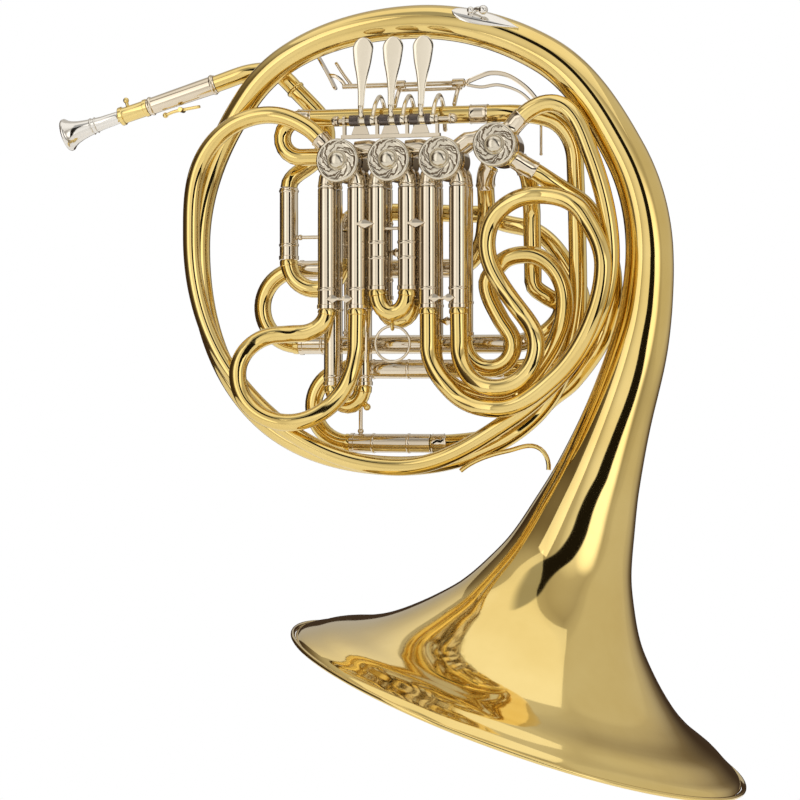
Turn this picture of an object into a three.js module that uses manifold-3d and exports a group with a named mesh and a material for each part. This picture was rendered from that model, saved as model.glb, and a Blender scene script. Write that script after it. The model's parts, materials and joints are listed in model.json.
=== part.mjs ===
// A double French horn with four rotary valves, built as separate pieces.
// Millimetres, +Z up. The plane of the coils is XZ, and the valve caps face -Y.
// The origin is on the axis of the second valve, in the plane of the rear valve deck.
import * as THREE from "three";
import { mergeVertices } from "three/addons/utils/BufferGeometryUtils.js";
import Module from "manifold-3d";

const wasm = await Module();
wasm.setup();

// ---- Driving dimensions ----

// Depths of the layers of tubing, from the cap side to the back.
const CROOK_Y = -28;
const FRONT_Y = -15;
const REAR_Y = 0;
const BACK_Y = 14;
const DEEP_Y = 28;

const TUBE_R = 5.7; // bows and crooks
const LEG_R = 5.3; // the sliding legs inside the sleeves
const SLEEVE_R = 6.2;
const SLEEVE_BORE_R = 5.65;
const BEAD_R = 6.7; // the ring at the mouth of a sleeve
const GAP = 0.35; // between pieces that meet

const VALVES = [
  { x: -34, z: 0 },
  { x: 0, z: 0 },
  { x: 34, z: 0 },
  { x: 70, z: 8 },
];
const LEG_OFFSET = 10; // of a valve's slide legs from its axis
const CASING_R = 13;
const CHAMBER_R = 11.1;
const ROTOR_R = 10.8;
const CASING_FRONT_Y = -22;
const CASING_BACK_Y = 9;
const CASING_WALL = 2; // at the back of the chamber
const STUB_R = 6.2;
const LEG_STUB_BOTTOM = -17;
const LINK_Z = 8;
const CAP_R = 14.2;
const SPINDLE_R = 2.6;
const SPINDLE_HOLE_R = 2.9;

const ROD_Y = -20; // the finger levers' hinge rod
const ROD_Z = 26;
const ROD_R = 1.5;
const LEVER_X = [-19, 1, 21];
const LEVER_ARM_OFFSET = 7;
const UPRIGHT_X = [-31, -9, 11, 31];

const RETURN_TUBE_Z = 30.5;

const X_AXIS = new THREE.Vector3(1, 0, 0);
const Y_AXIS = new THREE.Vector3(0, 1, 0);
const TUBE_SIDES = 8;
const MAX_TURN = THREE.MathUtils.degToRad(25);

// ---- Materials ----

const metal = (color, roughness) =>
  new THREE.MeshStandardMaterial({ color, roughness, metalness: 1 });
const brass = metal(0xd9b45a, 0.18);
const nickel = metal(0xcfc8b8, 0.22);
const silver = metal(0xdcdad5, 0.15);

// ---- Routes: waypoints [x, z, heading in degrees, y] joined by curves ----

function route(waypoints) {
  const path = new THREE.CurvePath();
  for (let i = 1; i < waypoints.length; i++) {
    const [x0, z0, h0, y0] = waypoints[i - 1];
    const [x1, z1, h1, y1] = waypoints[i];
    const a = THREE.MathUtils.degToRad(h0);
    const b = THREE.MathUtils.degToRad(h1);
    const turn = Math.atan2(Math.sin(b - a), Math.cos(b - a));
    const chord = Math.hypot(x1 - x0, z1 - z0);
    const handle = chord / (3 * Math.cos(turn / 4) ** 2);
    path.add(
      new THREE.CubicBezierCurve3(
        new THREE.Vector3(x0, y0, z0),
        new THREE.Vector3(x0 + handle * Math.cos(a), y0, z0 + handle * Math.sin(a)),
        new THREE.Vector3(x1 - handle * Math.cos(b), y1, z1 - handle * Math.sin(b)),
        new THREE.Vector3(x1, y1, z1),
      ),
    );
  }
  return measured(path);
}

// A route measured along its length, so that a place on it is found by distance.
function measured(path) {
  const STEPS = 24;
  const points = [];
  const tangents = [];
  const lengths = [0];
  for (const [i, curve] of path.curves.entries()) {
    for (let k = i ? 1 : 0; k <= STEPS; k++) {
      points.push(curve.getPoint(k / STEPS));
      tangents.push(curve.getTangent(k / STEPS));
    }
  }
  for (let i = 1; i < points.length; i++) {
    lengths.push(lengths[i - 1] + points[i].distanceTo(points[i - 1]));
  }
  const length = lengths.at(-1);
  const at = (s) => {
    let i = 1;
    while (i < lengths.length - 1 && lengths[i] < s) i++;
    const t = (s - lengths[i - 1]) / (lengths[i] - lengths[i - 1]);
    const inside = THREE.MathUtils.clamp(t, 0, 1);
    const tangent = tangents[i - 1].clone().lerp(tangents[i], inside).normalize();
    const point = points[i - 1].clone().lerp(points[i], inside);
    point.addScaledVector(tangent, (t - inside) * (lengths[i] - lengths[i - 1]));
    return { point, tangent };
  };
  return { at, length };
}

// Adds points to a profile [distance, radius] wherever the route turns.
function followTurns(profile, along) {
  const SCAN = 1.5;
  const out = [profile[0]];
  for (let i = 1; i < profile.length; i++) {
    const [s0, r0] = profile[i - 1];
    const [s1, r1] = profile[i];
    const count = Math.ceil(Math.abs(s1 - s0) / SCAN);
    let last = along.at(s0).tangent;
    for (let k = 1; k < count; k++) {
      const s = s0 + ((s1 - s0) * k) / count;
      const here = along.at(s).tangent;
      if (here.angleTo(last) >= MAX_TURN) {
        out.push([s, r0 + ((r1 - r0) * k) / count]);
        last = here;
      }
    }
    out.push([s1, r1]);
  }
  return out;
}

// A profile [distance, radius] turned round the route, as a lathe does round a straight axis.
function bentLathe(waypoints, profileFor, sides = TUBE_SIDES, up = Y_AXIS) {
  const along = Array.isArray(waypoints) ? route(waypoints) : waypoints;
  const profile = followTurns(profileFor(along.length), along);
  const points = profile.map(([s, r]) => new THREE.Vector2(r, s));
  const lathe = welded(new THREE.LatheGeometry(points, sides));
  const position = lathe.attributes.position;
  for (let i = 0; i < position.count; i++) {
    const across = position.getX(i);
    const s = position.getY(i);
    const beside = position.getZ(i);
    const { point, tangent } = along.at(s);
    const normal = up.clone().addScaledVector(tangent, -up.dot(tangent)).normalize();
    const binormal = normal.clone().cross(tangent);
    point.addScaledVector(normal, across).addScaledVector(binormal, beside);
    position.setXYZ(i, point.x, point.y, point.z);
  }
  return lathe;
}

// Profiles of a tube of the length L, from its start to its end.
const plainTube = (r) => (L) => [[0, 0], [0, r], [L, r], [L, 0]];
const taperedTube = (r0, r1) => (L) => [[0, 0], [0, r0], [L, r1], [L, 0]];

// ---- Solids ----

// The geometry with its shared corners joined, and without the empty triangles at its poles.
function welded(geometry) {
  const bare = geometry.clone();
  bare.deleteAttribute("normal");
  bare.deleteAttribute("uv");
  const merged = mergeVertices(bare, 1e-4);
  const kept = [];
  for (let i = 0; i < merged.index.count; i += 3) {
    const [a, b, c] = merged.index.array.slice(i, i + 3);
    if (a !== b && b !== c && c !== a) kept.push(a, b, c);
  }
  merged.setIndex(kept);
  return merged;
}

function solid(geometry) {
  if (geometry instanceof wasm.Manifold) return geometry;
  const whole = welded(geometry);
  return new wasm.Manifold(
    new wasm.Mesh({
      numProp: 3,
      vertProperties: whole.attributes.position.array,
      triVerts: new Uint32Array(whole.index.array),
    }),
  );
}

function geometryOf(manifold) {
  const mesh = manifold.getMesh();
  const geometry = new THREE.BufferGeometry();
  geometry.setAttribute("position", new THREE.BufferAttribute(mesh.vertProperties, 3));
  geometry.setIndex(new THREE.BufferAttribute(mesh.triVerts, 1));
  geometry.computeVertexNormals();
  return geometry;
}

const union = (pieces) => pieces.map(solid).reduce((a, b) => a.add(b));

// A cylinder between two points.
function rod(from, to, r, sides = TUBE_SIDES) {
  const a = new THREE.Vector3(...from);
  const b = new THREE.Vector3(...to);
  const axis = b.clone().sub(a);
  const geometry = welded(new THREE.CylinderGeometry(r, r, axis.length(), sides));
  const turn = new THREE.Quaternion().setFromUnitVectors(Y_AXIS, axis.clone().normalize());
  return geometry.applyQuaternion(turn).translate(...a.add(b).multiplyScalar(0.5).toArray());
}

function box(low, high) {
  const size = high.map((v, i) => v - low[i]);
  const centre = high.map((v, i) => (v + low[i]) / 2);
  return new THREE.BoxGeometry(...size).translate(...centre);
}

// A flat outline in the XZ plane, as a plate from the depth y0 to y1.
function plateXZ(shape, y0, y1, curveSegments = 5) {
  const settings = { depth: y1 - y0, bevelEnabled: false, curveSegments };
  return new THREE.ExtrudeGeometry(shape, settings).rotateX(Math.PI / 2).translate(0, y1, 0);
}

const horn = new THREE.Group();

function add(name, shape, material) {
  const mesh = new THREE.Mesh(geometryOf(solid(shape)), material.clone());
  mesh.name = name;
  horn.add(mesh);
}

// ---- Bell, and the long branch that narrows from it to the first valve ----

const bellWay = route([
  [80.1, -354.1, 70.9, 0],
  [146, -164.3, 72, 0],
  [163.9, -93.3, 84, 0],
  [165.8, -63.3, 90, 0],
  [149.6, 3.4, 118, 0],
  [97.5, 67.7, 149, 0],
  [11.4, 91.8, 180, 0],
  [-42.9, 84.5, 196, 0],
  [-76.5, 69.8, 212, 0],
  [-102.1, 46, 234, 0],
  [-137.1, -51.9, 270, 0],
  [-95.9, -165.4, 316, 0],
  [1.3, -198.6, 0, 0],
  [68.2, -181.4, 30, 8],
  [94.6, -158.6, 52, BACK_Y],
  [111.5, -123, 77, BACK_Y],
  [117, -80.7, 90, BACK_Y],
  [116.3, -38.5, 91, BACK_Y],
  [115, 0.5, 92, BACK_Y],
  [99.6, 26.9, 158, 9],
  [68.2, RETURN_TUBE_Z, 180, REAR_Y],
  [-66, RETURN_TUBE_Z, 180, REAR_Y],
  [-79, 17.8, 270, REAR_Y],
  [-66, 5, 0, REAR_Y],
  [-42, 5, 0, REAR_Y],
]);

const BELL_WALL = 1.2;
const BELL_SIDES = 32;
const BELL_TAIL = 303; // along the branch from the rim
const bellProfile = [
  [0, 151.6],
  [3, 149.5],
  [8, 141],
  [13, 132.5],
  [20, 115],
  [27, 102],
  [36, 90],
  [51, 74],
  [66, 61],
  [84, 50.5],
  [105, 41],
  [131, 34],
  [160, 27.5],
  [203, 21.6],
  [242, 19],
  [268, 17],
  [BELL_TAIL, 15.4],
];
const bellInside = bellProfile.map(([s, r]) => [s, r - BELL_WALL]).reverse();
add(
  "bell",
  bentLathe(bellWay, () => [...bellProfile, ...bellInside, bellProfile[0]], BELL_SIDES),
  brass,
);

const rimProfile = [
  [-1.2, 152.2],
  [-1.2, 154.4],
  [0, 155],
  [1.4, 154.6],
  [1.6, 153.4],
  [0.4, 152],
  [-1.2, 152.2],
];
add("rim_wire", bentLathe(bellWay, () => rimProfile, BELL_SIDES), brass);

const branchProfile = (L) => [
  [BELL_TAIL + GAP, 0],
  [BELL_TAIL + GAP, 15.6],
  [BELL_TAIL + 6, 15.6],
  [BELL_TAIL + 6, 15],
  [370, 13.7],
  [454, 12.3],
  [544, 11],
  [636, 9.2],
  [777, 7.5],
  [1005, 6.3],
  [1175, 6],
  [1300, TUBE_R],
  [L, TUBE_R],
  [L, 0],
];

// Cuts a tube short where it meets a valve's casing.
function stopAt(valve, tube) {
  const reach = CASING_R + GAP;
  const round = rod([valve.x, -60, valve.z], [valve.x, 60, valve.z], reach, 32);
  return solid(tube).subtract(solid(round));
}

const [valve1, , , valve4] = VALVES;
add("bell_branch", stopAt(valve1, bentLathe(bellWay, branchProfile, 12)), brass);

const frontLoop = bentLathe(
  [
    [-40, 6, 135, FRONT_Y],
    [-57, 22.7, 147, FRONT_Y],
    [-84.4, 32, 180, FRONT_Y],
    [-130.7, 1.7, 245, FRONT_Y],
    [-137.3, -47.4, 270, FRONT_Y],
    [-107, -141, 308, FRONT_Y],
    [3.7, -198.9, 0, FRONT_Y],
    [76.8, -168.6, 34, FRONT_Y],
    [143.4, -63.8, 90, FRONT_Y],
    [129.9, 2, 111, FRONT_Y],
    [104, 34.6, 180, FRONT_Y],
    [74.8, 14.2, 232, FRONT_Y],
  ],
  plainTube(TUBE_R),
);
add("f_loop", stopAt(valve4, stopAt(valve1, frontLoop)), brass);

// ---- Mouthpiece and leadpipe ----

const LEAD_HEADING = 16.6;
const LEAD_Y = 15;
const leadEnd = [-124.3, 58.9];
const leadCos = Math.cos(THREE.MathUtils.degToRad(LEAD_HEADING));
const leadSin = Math.sin(THREE.MathUtils.degToRad(LEAD_HEADING));
// A place on the straight of the leadpipe, by its distance back from where the bow begins.
const lead = (back) => [
  leadEnd[0] - back * leadCos,
  leadEnd[1] - back * leadSin,
  LEAD_HEADING,
  LEAD_Y,
];
const RIM_BACK = 118;
const RECEIVER_BACK = 77;
const SLEEVE_BACK = 56;
const SHANK_DEPTH = 14;
const mouthpieceProfile = (L) => [
  [0, 8.4],
  [0, 10.4],
  [1.2, 11.2],
  [3, 10.6],
  [7, 8],
  [16, 6],
  [28, 4.6],
  [L - SHANK_DEPTH, 4.2],
  [L - SHANK_DEPTH + 0.5, 3.4],
  [L, 3.2],
  [L, 2.1],
  [18, 2.1],
  [11, 5.6],
  [5, 7.9],
  [0, 8.4],
];
add(
  "mouthpiece",
  bentLathe([lead(RIM_BACK), lead(RECEIVER_BACK - SHANK_DEPTH + 1)], mouthpieceProfile, 20),
  silver,
);
const receiverProfile = (L) => [
  [0, 3.8],
  [0, 6.2],
  [3, 6.4],
  [4, 5.4],
  [L, 5.6],
  [L, 0],
  [SHANK_DEPTH, 0],
  [SHANK_DEPTH, 3.8],
  [0, 3.8],
];
add("receiver", bentLathe([lead(RECEIVER_BACK), lead(SLEEVE_BACK)], receiverProfile), brass);
add(
  "leadpipe_sleeve",
  bentLathe([lead(SLEEVE_BACK - GAP), lead(6)], taperedTube(5.6, SLEEVE_R)),
  nickel,
);
add(
  "leadpipe",
  bentLathe(
    [
      lead(6 - GAP),
      [-112.8, 62.6, 16, LEAD_Y],
      [-94.4, 65.5, 0, 18],
      [-73.8, 50, 315, 22],
      [-62.4, 38, 313, 24],
      [-55, 21, 270, 24],
      [-64, 3, 220, 20],
      [-78.6, -13.5, 270, BACK_Y],
    ],
    plainTube(TUBE_R),
  ),
  brass,
);

// ---- Valves ----

const around = (v, y0, y1, r, sides = 20) => rod([v.x, y0, v.z], [v.x, y1, v.z], r, sides);

for (const [i, valve] of VALVES.entries()) {
  const { x, z } = valve;
  const number = i + 1;
  const body = [around(valve, CASING_FRONT_Y, CASING_BACK_Y, CASING_R)];
  for (const deck of [FRONT_Y, REAR_Y]) {
    if (number < 4) {
      for (const leg of [x - LEG_OFFSET, x + LEG_OFFSET]) {
        body.push(rod([leg, deck, z - 7], [leg, deck, LEG_STUB_BOTTOM], STUB_R));
      }
      const next = VALVES[number];
      const link = rod([x + 6, deck, z + LINK_Z], [next.x - 6, deck, next.z + LINK_Z - 1], 5);
      body.push(stopAt(next, link));
    }
  }
  const casing = union(body)
    .subtract(solid(around(valve, CASING_FRONT_Y - 1, CASING_BACK_Y - CASING_WALL, CHAMBER_R)))
    .subtract(solid(around(valve, 0, 30, SPINDLE_HOLE_R, 12)));
  add(`valve_casing_${number}`, casing, nickel);

  const rotorBack = CASING_BACK_Y - CASING_WALL - GAP;
  const rotor = union([
    around(valve, CASING_FRONT_Y + GAP, rotorBack, ROTOR_R),
    around(valve, 0, 20, SPINDLE_R, 12),
  ]);
  add(`rotor_${number}`, rotor, brass);

  const capProfile = [
    [0, 0],
    [0, CAP_R],
    [4.8, CAP_R],
    [5.6, CAP_R - 0.9],
    [5.6, 11.6],
    [5, 11.1],
    [5.5, 5.4],
    [6, 3.4],
    [7.6, 2.4],
    [8.2, 0],
  ];
  const cap = bentLathe(capAxis(valve), () => capProfile, 16, X_AXIS);
  add(`valve_cap_${number}`, cap, nickel);

  const arm = union([
    around(valve, 14, 17, 6, 14),
    rod([x, 15.5, z], [x + 10, 15.5, z - 2], 1.5, 6),
  ]).subtract(solid(around(valve, 10, 21, SPINDLE_HOLE_R, 12)));
  add(`stop_arm_${number}`, arm, brass);
}

// The line along which a valve's cap is turned, from its back to its knob.
function capAxis({ x, z }) {
  const from = new THREE.Vector3(x, CASING_FRONT_Y - GAP, z);
  const to = from.clone().setY(from.y - 10);
  return measured({ curves: [new THREE.LineCurve3(from, to)] });
}

// ---- Sleeves and the slides that draw out of them ----

// A sleeve whose mouth is at the end of its waypoints, bored to the depth of its slide.
function sleeve(waypoints, depth) {
  const BEAD = 3;
  return bentLathe(waypoints, (L) => [
    [0, 0],
    [0, SLEEVE_R],
    [L - BEAD, SLEEVE_R],
    [L - BEAD, BEAD_R],
    [L, BEAD_R],
    [L, SLEEVE_BORE_R],
    [L - depth, SLEEVE_BORE_R],
    [L - depth, 0],
  ]);
}

// A slide whose two legs reach the given depth into their sleeves.
const slideTube = (depth) => (L) => [
  [0, 0],
  [0, LEG_R],
  [depth + GAP, LEG_R],
  [depth + GAP, TUBE_R],
  [L - depth - GAP, TUBE_R],
  [L - depth - GAP, LEG_R],
  [L, LEG_R],
  [L, 0],
];

const SLIDE_DEPTH = 22;
const BORE_DEPTH = 24;
const SLEEVE_TOP = LEG_STUB_BOTTOM - GAP;

// Under each valve, one pair of sleeves in front and one behind. Each bow lists the waypoints
// between its two legs.
const valveSlides = [
  {
    name: "f_slide_1",
    valve: VALVES[0],
    y: FRONT_Y,
    mouths: [-96, -96],
    bow: [
      [-62, -112, 180, -17],
      [-76, -112.7, 182, -20],
      [-101.5, -138.3, 270, -27],
      [-66.5, -170.2, 0, CROOK_Y],
      [-29.5, -145.4, 62, -20],
      [-24.3, -119.5, 90, FRONT_Y],
    ],
  },
  {
    name: "f_slide_2",
    valve: VALVES[1],
    y: FRONT_Y,
    mouths: [-84, -84],
    bow: [[0, -99, 0, FRONT_Y]],
  },
  {
    name: "f_slide_3",
    valve: VALVES[2],
    y: FRONT_Y,
    mouths: [-96, -96],
    bow: [
      [24.1, -120, 270, FRONT_Y],
      [41, -150, 315, -21],
      [72.5, -161, 0, CROOK_Y],
      [108.5, -141.3, 42, CROOK_Y],
      [134.5, -100.6, 70, CROOK_Y],
      [140.5, -70, 90, CROOK_Y],
      [127.5, -38, 122, -24],
      [95.5, -24.3, 180, -18],
      [69.3, -35.5, 228, FRONT_Y],
      [62.6, -55, 270, FRONT_Y],
      [72, -81.2, 303, FRONT_Y],
      [84.5, -97.6, 308, -18],
      [97, -120.2, 270, -25],
      [71.2, -147.7, 180, CROOK_Y],
      [44.3, -119.9, 90, FRONT_Y],
    ],
  },
  {
    name: "b_slide_1",
    valve: VALVES[0],
    y: REAR_Y,
    mouths: [-146, -146],
    bow: [[-34, -158.7, 0, REAR_Y]],
  },
  {
    name: "b_slide_2",
    valve: VALVES[1],
    y: REAR_Y,
    mouths: [-90, -90],
    bow: [[0, -103, 0, REAR_Y]],
  },
  {
    name: "b_slide_3",
    valve: VALVES[2],
    y: REAR_Y,
    mouths: [-116, -114],
    bow: [
      [24, -124, 270, REAR_Y],
      [66.2, -154.1, 0, REAR_Y],
      [98.5, -128.3, 57, REAR_Y],
      [110.9, -92.9, 90, REAR_Y],
      [106.4, -74.7, 120, REAR_Y],
      [85.8, -61.3, 180, REAR_Y],
      [68.2, -67.2, 230, REAR_Y],
      [59.5, -80.7, 275, REAR_Y],
      [68.2, -102.2, 298, REAR_Y],
      [77, -119.4, 270, REAR_Y],
      [61.3, -135.1, 180, REAR_Y],
    ],
  },
];

const ringEye = { x: 0, y: FRONT_Y, z: -107.3 };

for (const { name, valve, y, mouths, bow } of valveSlides) {
  const xs = [valve.x - LEG_OFFSET, valve.x + LEG_OFFSET];
  const sleeves = xs.map((x, i) =>
    sleeve([[x, SLEEVE_TOP, 270, y], [x, mouths[i], 270, y]], BORE_DEPTH),
  );
  const braceZ = Math.max(...mouths) + 9;
  sleeves.push(rod([xs[0] + 4, y, braceZ], [xs[1] - 4, y, braceZ], 1.6, 6));
  const bores = xs.map((x, i) =>
    solid(rod([x, y, mouths[i] + BORE_DEPTH], [x, y, mouths[i] - 1], SLEEVE_BORE_R)),
  );
  add(`${name}_sleeves`, bores.reduce((a, b) => a.subtract(b), union(sleeves)), nickel);

  const way = [
    [xs[0], mouths[0] + SLIDE_DEPTH, 270, y],
    [xs[0], mouths[0] - 1, 270, y],
    ...bow,
    [xs[1], mouths[1] - 1, 90, y],
    [xs[1], mouths[1] + SLIDE_DEPTH, 90, y],
  ];
  const slide = [bentLathe(way, slideTube(SLIDE_DEPTH))];
  if (name === "f_slide_2") {
    const eye = new THREE.TorusGeometry(2.5, 0.8, 6, 12).rotateY(Math.PI / 2);
    slide.push(eye.translate(ringEye.x, ringEye.y, ringEye.z));
  }
  add(name, union(slide), brass);
}

const RING_R = 11.5;
add(
  "pull_ring",
  new THREE.TorusGeometry(RING_R, 0.9, 6, 24)
    .rotateX(Math.PI / 2)
    .translate(ringEye.x, ringEye.y, ringEye.z - RING_R),
  nickel,
);

// ---- Tuning slides and the tubes behind the valves ----

const TUNING_X = [-78.6, -41.2];
const TUNING_MOUTH = -62;
const TUNING_DEPTH = 14;
const TUNING_TOPS = [-13.9, -44];
const tuningWay = (i) => [
  [TUNING_X[i], TUNING_TOPS[i], 270, BACK_Y],
  [TUNING_X[i], TUNING_MOUTH, 270, BACK_Y],
];
add(
  "main_tuning_sleeves",
  union([
    sleeve(tuningWay(0), TUNING_DEPTH + 1),
    sleeve(tuningWay(1), TUNING_DEPTH + 1),
    rod([-72.7, BACK_Y, -47], [-47.1, BACK_Y, -47], 1.4, 6),
  ]),
  nickel,
);
add(
  "main_tuning_slide",
  bentLathe(
    [
      [TUNING_X[0], TUNING_MOUTH + TUNING_DEPTH, 270, BACK_Y],
      [TUNING_X[0], TUNING_MOUTH - 1, 270, BACK_Y],
      [(TUNING_X[0] + TUNING_X[1]) / 2, TUNING_MOUTH - 19.7, 0, BACK_Y],
      [TUNING_X[1], TUNING_MOUTH - 1, 90, BACK_Y],
      [TUNING_X[1], TUNING_MOUTH + TUNING_DEPTH, 90, BACK_Y],
    ],
    slideTube(TUNING_DEPTH),
  ),
  brass,
);
add(
  "crossover_tube",
  bentLathe(
    [
      [TUNING_X[1], TUNING_TOPS[1] + GAP, 90, BACK_Y],
      [-25, -30, 0, 24],
      [0, -30, 0, 33],
      [45, -32, 0, 35],
      [62.6, -37.8, 340, 35],
      [84.8, -44, 332, 33],
      [106, -66, 300, 31],
      [117, -95, 268, 30],
      [100, -126, 215, 26],
      [70, -135, 180, 16],
      [52 + GAP, -135, 180, BACK_Y],
    ],
    plainTube(TUBE_R),
  ),
  brass,
);

// Two slides that lie across the horn, drawn out to the left.
const crossSlides = [
  {
    name: "f_tuning_slide",
    y: BACK_Y,
    top: -135,
    bottom: -184,
    mouth: -36,
    ends: [52, 19],
    braceBack: 7,
  },
  {
    name: "b_tuning_slide",
    y: DEEP_Y,
    top: -68,
    bottom: -118.4,
    mouth: -75,
    ends: [30, 66],
    braceBack: 32,
  },
];
for (const { name, y, top, bottom, mouth, ends, braceBack } of crossSlides) {
  const upper = [[ends[0], top, 180, y], [mouth, top, 180, y]];
  const lower = [[ends[1], bottom, 180, y], [mouth, bottom, 180, y]];
  const braceX = mouth + braceBack;
  add(
    `${name}_sleeves`,
    union([
      sleeve(upper, BORE_DEPTH),
      sleeve(lower, BORE_DEPTH),
      rod([braceX, y, top - 5.9], [braceX, y, bottom + 5.9], 1.6, 6),
    ]),
    nickel,
  );
  const bowR = (top - bottom) / 2;
  add(
    name,
    bentLathe(
      [
        [mouth + SLIDE_DEPTH, top, 180, y],
        [mouth - 1, top, 180, y],
        [mouth - 1 - bowR, top - bowR, 270, y],
        [mouth - 1, bottom, 0, y],
        [mouth + SLIDE_DEPTH, bottom, 0, y],
      ],
      slideTube(SLIDE_DEPTH),
    ),
    brass,
  );
}

const returnTubes = {
  upper_return_tube: [
    [30 + GAP, -68, 0, DEEP_Y],
    [52, -50, 75, 22],
    [56, -30, 85, BACK_Y],
    [64.5, 1, 52, REAR_Y],
  ],
  lower_return_tube: [
    [76.6, 3, 322, REAR_Y],
    [87, -19, 272, 6],
    [86.5, -34.7, 270, BACK_Y],
    [87.2, -78.4, 270, BACK_Y],
    [96.4, -88.2, 325, 18],
    [104, -95, 270, 27],
    [98, -107, 225, 27],
    [66 + GAP, -118.4, 180, DEEP_Y],
  ],
  outer_return_tube: [
    [19 + GAP, -184, 0, BACK_Y],
    [45, -182.3, 8, 20],
    [72, -173.7, 35, 26],
    [94, -157, 45, 29],
    [111.7, -142.4, 50, 29],
    [133.1, -113.5, 68, 18],
    [141.6, -81.6, 90, 6],
    [135.7, -50.7, 112, 0],
    [119.4, -26, 147, 0],
    [98, -11.5, 145, -9],
    [76.6, 3, 142, FRONT_Y],
  ],
};
for (const [name, way] of Object.entries(returnTubes)) {
  add(name, stopAt(valve4, bentLathe(way, plainTube(TUBE_R))), brass);
}

// ---- Finger levers on one rod ----

const rack = [box([-33, -21.5, 14.4], [33, -17.5, 17])];
for (const x of UPRIGHT_X) {
  rack.push(box([x - 1, -21.5, 15], [x + 1, -17.5, 24]));
  rack.push(rod([x - 1, ROD_Y, ROD_Z], [x + 1, ROD_Y, ROD_Z], 3.2, 12));
}
const rodHole = solid(rod([-50, ROD_Y, ROD_Z], [50, ROD_Y, ROD_Z], ROD_R + 0.3, 12));
add("lever_rack", union(rack).subtract(rodHole), nickel);

add(
  "lever_rod",
  union([
    rod([-35, ROD_Y, ROD_Z], [39, ROD_Y, ROD_Z], ROD_R, 12),
    new THREE.SphereGeometry(3.2, 10, 8).translate(-36, ROD_Y, ROD_Z),
    new THREE.SphereGeometry(3.2, 10, 8).translate(40, ROD_Y, ROD_Z),
  ]),
  nickel,
);

// A round bar through points given as [x, y, z].
function bar(points, r) {
  const curve = new THREE.CatmullRomCurve3(points.map((p) => new THREE.Vector3(...p)));
  return bentLathe(measured({ curves: [curve] }), plainTube(r), 6, X_AXIS);
}

function spatula(x) {
  const shape = new THREE.Shape();
  shape.moveTo(-1.7, 8);
  shape.bezierCurveTo(-1.9, 24, -6.5, 34, -6.5, 46);
  shape.absarc(0, 46.6, 6.5, Math.PI, 0, true);
  shape.bezierCurveTo(6.5, 34, 1.9, 24, 1.7, 8);
  return plateXZ(shape, -25, -23).translate(x, 0, ROD_Z);
}

for (const [i, x] of LEVER_X.entries()) {
  const side = x + LEVER_ARM_OFFSET;
  const lever = union([
    spatula(x),
    bar([[x, -24, ROD_Z + 9], [x, -23.4, ROD_Z + 4], [x, -21.5, ROD_Z + 1]], 1.7),
    rod([x - 3, ROD_Y, ROD_Z], [side + 1.5, ROD_Y, ROD_Z], 3, 12),
    bar(
      [
        [side, ROD_Y, ROD_Z + 2],
        [side, -12, 38],
        [side, 0, 43.5],
        [side, 11, 37],
        [side, 16, 22],
      ],
      1.5,
    ),
  ]).subtract(rodHole);
  add(`finger_lever_${i + 1}`, lever, nickel);
}

// ---- Thumb lever behind the horn ----

const THUMB_Y = 16;
const thumbZ = 53;
const POST_X = [-3, 37];
const SHAFT_END = 42;
const thumbHole = solid(rod([-60, THUMB_Y, thumbZ], [95, THUMB_Y, thumbZ], 1.8, 12));
add(
  "thumb_lever",
  union([
    rod([-42, THUMB_Y, thumbZ], [SHAFT_END, THUMB_Y, thumbZ], 1.4, 8),
    bar([[-41, THUMB_Y, thumbZ], [-44, 17, 57], [-50, 18, 64], [-57, 18, 72]], 2.2),
    bar(
      [
        [SHAFT_END - 1, THUMB_Y, thumbZ],
        [50, 16, 56.5],
        [59, 16, 59],
        [70, 16, 57],
        [82, 16, 49],
        [90, 16.5, 39],
        [92, 17, 28],
        [92, 17, 4],
      ],
      1.2,
    ),
  ]),
  nickel,
);
const strut = (x) => [
  rod([x, REAR_Y + 3, RETURN_TUBE_Z + 6.8], [x, THUMB_Y, thumbZ], 1.5, 6),
  rod([x - 4, THUMB_Y, thumbZ], [x + 4, THUMB_Y, thumbZ], 3, 12),
  box([x - 2, THUMB_Y, thumbZ - 4], [x + 2, THUMB_Y + 5, thumbZ - 2]),
];
const tieEnds = POST_X.map((x) => [x, THUMB_Y + 4.5, thumbZ - 3]);
add(
  "thumb_lever_bracket",
  union([...POST_X.flatMap(strut), rod(...tieEnds, 1.4, 6)]).subtract(thumbHole),
  nickel,
);

// ---- Small fittings ----

// A line on the surface of the branch, at an angle up from the side the caps face.
function onBranch(distances, angle, radius) {
  const tilt = THREE.MathUtils.degToRad(angle);
  return distances.map((s) => {
    const { point, tangent } = bellWay.at(s);
    const outward = new THREE.Vector3(-tangent.z, 0, tangent.x).negate();
    point.addScaledVector(outward, radius * Math.sin(tilt));
    point.y -= radius * Math.cos(tilt);
    return point.toArray();
  });
}

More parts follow.
